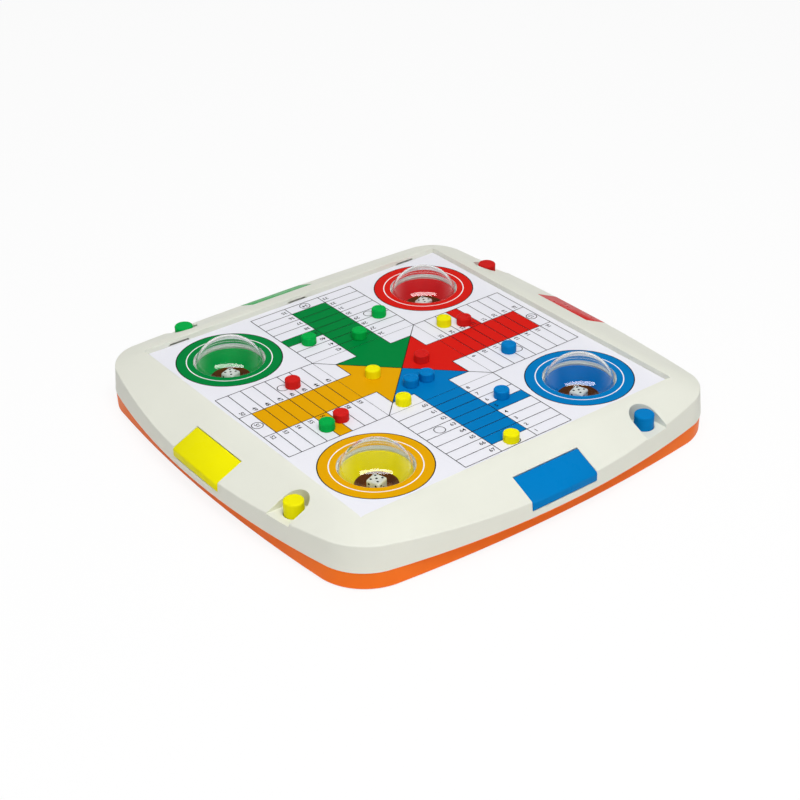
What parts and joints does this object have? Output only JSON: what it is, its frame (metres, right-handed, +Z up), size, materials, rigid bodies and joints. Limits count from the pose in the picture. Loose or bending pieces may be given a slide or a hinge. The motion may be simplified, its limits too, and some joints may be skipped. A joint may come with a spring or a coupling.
{
  "type": "parcheesi board",
  "caption": "Square parcheesi board: bowed moulded case round a recessed printed sheet, clear dice domes tossed by push-buttons, hinged piece pockets and loose playing pieces.",
  "frame": {"origin": "on the floor, under the middle of the board", "axes": "+Z up from the table through the playing sheet; -Y towards the blue player, +X towards the red"},
  "size_m": [0.4, 0.4, 0.0615],
  "materials": {
    "ivory_plastic": "semi-gloss moulded",
    "orange_plastic": "semi-gloss moulded",
    "deck_plastic": "plain moulded",
    "printed_sheet": "printed, satin",
    "clear_plastic": "clear polished",
    "white_plastic": "polished",
    "spring_steel": "plain",
    "foot_rubber": "matt",
    "blue_plastic": "gloss moulded",
    "red_plastic": "gloss moulded",
    "green_plastic": "gloss moulded",
    "yellow_plastic": "gloss moulded"
  },
  "bodies": {
    "case": {"top_case": "ivory_plastic", "base_tray": "orange_plastic", "board_panel": "deck_plastic", "board_sheet": "printed_sheet", "dome_blue": "clear_plastic", "dome_red": "clear_plastic", "dome_green": "clear_plastic", "dome_yellow": "clear_plastic", "cup_blue": "blue_plastic", "cup_red": "red_plastic", "cup_green": "green_plastic", "cup_yellow": "yellow_plastic", "spring_blue": "spring_steel", "spring_red": "spring_steel", "spring_green": "spring_steel", "spring_yellow": "spring_steel", "lever_pin_blue": "spring_steel", "lever_pin_red": "spring_steel", "lever_pin_green": "spring_steel", "lever_pin_yellow": "spring_steel", "case_screws": "spring_steel", "cup_screws": "spring_steel", "feet": "foot_rubber"},
    "button_blue": {"button_blue": "blue_plastic"},
    "toss_lever_blue": {"toss_lever_blue": "blue_plastic"},
    "die_blue": {"die_blue": "white_plastic"},
    "lid_blue": {"lid_blue": "blue_plastic"},
    "token_blue_1": {"token_blue_1": "blue_plastic"},
    "token_blue_2": {"token_blue_2": "blue_plastic"},
    "token_blue_3": {"token_blue_3": "blue_plastic"},
    "token_blue_4": {"token_blue_4": "blue_plastic"},
    "button_red": {"button_red": "red_plastic"},
    "toss_lever_red": {"toss_lever_red": "red_plastic"},
    "die_red": {"die_red": "white_plastic"},
    "lid_red": {"lid_red": "red_plastic"},
    "token_red_1": {"token_red_1": "red_plastic"},
    "token_red_2": {"token_red_2": "red_plastic"},
    "token_red_3": {"token_red_3": "red_plastic"},
    "token_red_4": {"token_red_4": "red_plastic"},
    "button_green": {"button_green": "green_plastic"},
    "toss_lever_green": {"toss_lever_green": "green_plastic"},
    "die_green": {"die_green": "white_plastic"},
    "lid_green": {"lid_green": "green_plastic"},
    "token_green_1": {"token_green_1": "green_plastic"},
    "token_green_2": {"token_green_2": "green_plastic"},
    "token_green_3": {"token_green_3": "green_plastic"},
    "token_green_4": {"token_green_4": "green_plastic"},
    "button_yellow": {"button_yellow": "yellow_plastic"},
    "toss_lever_yellow": {"toss_lever_yellow": "yellow_plastic"},
    "die_yellow": {"die_yellow": "white_plastic"},
    "lid_yellow": {"lid_yellow": "yellow_plastic"},
    "token_yellow_1": {"token_yellow_1": "yellow_plastic"},
    "token_yellow_2": {"token_yellow_2": "yellow_plastic"},
    "token_yellow_3": {"token_yellow_3": "yellow_plastic"},
    "token_yellow_4": {"token_yellow_4": "yellow_plastic"}
  },
  "joints": [
    {"name": "button_blue_press", "type": "slide", "parent": "case", "child": "button_blue", "axis": [0, 0, -1], "range_m": [0, 0.005], "stiffness_N_per_m": 300, "springref_m": -0.01, "deforming": ["spring_blue"]},
    {"name": "toss_lever_blue_rock", "type": "hinge", "parent": "case", "child": "toss_lever_blue", "pos_m": [0.1023, -0.1443, 0.013], "axis": [1, 0, 0], "range_deg": [0, 9]},
    {"name": "die_blue_toss", "type": "slide", "parent": "case", "child": "die_blue", "axis": [0, 0, 1], "range_m": [0, 0.009]},
    {"name": "lid_blue_open", "type": "hinge", "parent": "case", "child": "lid_blue", "pos_m": [0, -0.17679, 0.03755], "axis": [-1, 0, 0], "range_deg": [0, 92]},
    {"name": "token_blue_1_lift", "type": "slide", "parent": "case", "child": "token_blue_1", "axis": [0, 0, 1], "range_m": [0, 0.03]},
    {"name": "token_blue_2_lift", "type": "slide", "parent": "case", "child": "token_blue_2", "axis": [0, 0, 1], "range_m": [0, 0.03]},
    {"name": "token_blue_3_lift", "type": "slide", "parent": "case", "child": "token_blue_3", "axis": [0, 0, 1], "range_m": [0, 0.03]},
    {"name": "token_blue_4_lift", "type": "slide", "parent": "case", "child": "token_blue_4", "axis": [0, 0, 1], "range_m": [0, 0.03]},
    {"name": "button_red_press", "type": "slide", "parent": "case", "child": "button_red", "axis": [0, 0, -1], "range_m": [0, 0.005], "stiffness_N_per_m": 300, "springref_m": -0.01, "deforming": ["spring_red"]},
    {"name": "toss_lever_red_rock", "type": "hinge", "parent": "case", "child": "toss_lever_red", "pos_m": [0.1443, 0.1023, 0.013], "axis": [0, 1, 0], "range_deg": [0, 9]},
    {"name": "die_red_toss", "type": "slide", "parent": "case", "child": "die_red", "axis": [0, 0, 1], "range_m": [0, 0.009]},
    {"name": "lid_red_open", "type": "hinge", "parent": "case", "child": "lid_red", "pos_m": [0.17679, 0, 0.03755], "axis": [0, -1, 0], "range_deg": [0, 92]},
    {"name": "token_red_1_lift", "type": "slide", "parent": "case", "child": "token_red_1", "axis": [0, 0, 1], "range_m": [0, 0.03]},
    {"name": "token_red_2_lift", "type": "slide", "parent": "case", "child": "token_red_2", "axis": [0, 0, 1], "range_m": [0, 0.03]},
    {"name": "token_red_3_lift", "type": "slide", "parent": "case", "child": "token_red_3", "axis": [0, 0, 1], "range_m": [0, 0.03]},
    {"name": "token_red_4_lift", "type": "slide", "parent": "case", "child": "token_red_4", "axis": [0, 0, 1], "range_m": [0, 0.03]},
    {"name": "button_green_press", "type": "slide", "parent": "case", "child": "button_green", "axis": [0, 0, -1], "range_m": [0, 0.005], "stiffness_N_per_m": 300, "springref_m": -0.01, "deforming": ["spring_green"]},
    {"name": "toss_lever_green_rock", "type": "hinge", "parent": "case", "child": "toss_lever_green", "pos_m": [-0.1023, 0.1443, 0.013], "axis": [-1, 0, 0], "range_deg": [0, 9]},
    {"name": "die_green_toss", "type": "slide", "parent": "case", "child": "die_green", "axis": [0, 0, 1], "range_m": [0, 0.009]},
    {"name": "lid_green_open", "type": "hinge", "parent": "case", "child": "lid_green", "pos_m": [0, 0.17679, 0.03755], "axis": [1, 0, 0], "range_deg": [0, 92]},
    {"name": "token_green_1_lift", "type": "slide", "parent": "case", "child": "token_green_1", "axis": [0, 0, 1], "range_m": [0, 0.03]},
    {"name": "token_green_2_lift", "type": "slide", "parent": "case", "child": "token_green_2", "axis": [0, 0, 1], "range_m": [0, 0.03]},
    {"name": "token_green_3_lift", "type": "slide", "parent": "case", "child": "token_green_3", "axis": [0, 0, 1], "range_m": [0, 0.03]},
    {"name": "token_green_4_lift", "type": "slide", "parent": "case", "child": "token_green_4", "axis": [0, 0, 1], "range_m": [0, 0.03]},
    {"name": "button_yellow_press", "type": "slide", "parent": "case", "child": "button_yellow", "axis": [0, 0, -1], "range_m": [0, 0.005], "stiffness_N_per_m": 300, "springref_m": -0.01, "deforming": ["spring_yellow"]},
    {"name": "toss_lever_yellow_rock", "type": "hinge", "parent": "case", "child": "toss_lever_yellow", "pos_m": [-0.1443, -0.1023, 0.013], "axis": [0, -1, 0], "range_deg": [0, 9]},
    {"name": "die_yellow_toss", "type": "slide", "parent": "case", "child": "die_yellow", "axis": [0, 0, 1], "range_m": [0, 0.009]},
    {"name": "lid_yellow_open", "type": "hinge", "parent": "case", "child": "lid_yellow", "pos_m": [-0.17679, 0, 0.03755], "axis": [0, 1, 0], "range_deg": [0, 92]},
    {"name": "token_yellow_1_lift", "type": "slide", "parent": "case", "child": "token_yellow_1", "axis": [0, 0, 1], "range_m": [0, 0.03]},
    {"name": "token_yellow_2_lift", "type": "slide", "parent": "case", "child": "token_yellow_2", "axis": [0, 0, 1], "range_m": [0, 0.03]},
    {"name": "token_yellow_3_lift", "type": "slide", "parent": "case", "child": "token_yellow_3", "axis": [0, 0, 1], "range_m": [0, 0.03]},
    {"name": "token_yellow_4_lift", "type": "slide", "parent": "case", "child": "token_yellow_4", "axis": [0, 0, 1], "range_m": [0, 0.03]}
  ],
  "couplings": [
    {"joint": "toss_lever_blue_rock", "follows": "button_blue_press", "rad_per_m": 31.25},
    {"joint": "die_blue_toss", "follows": "button_blue_press", "ratio": 1.8},
    {"joint": "toss_lever_red_rock", "follows": "button_red_press", "rad_per_m": 31.25},
    {"joint": "die_red_toss", "follows": "button_red_press", "ratio": 1.8},
    {"joint": "toss_lever_green_rock", "follows": "button_green_press", "rad_per_m": 31.25},
    {"joint": "die_green_toss", "follows": "button_green_press", "ratio": 1.8},
    {"joint": "toss_lever_yellow_rock", "follows": "button_yellow_press", "rad_per_m": 31.25},
    {"joint": "die_yellow_toss", "follows": "button_yellow_press", "ratio": 1.8}
  ]
}
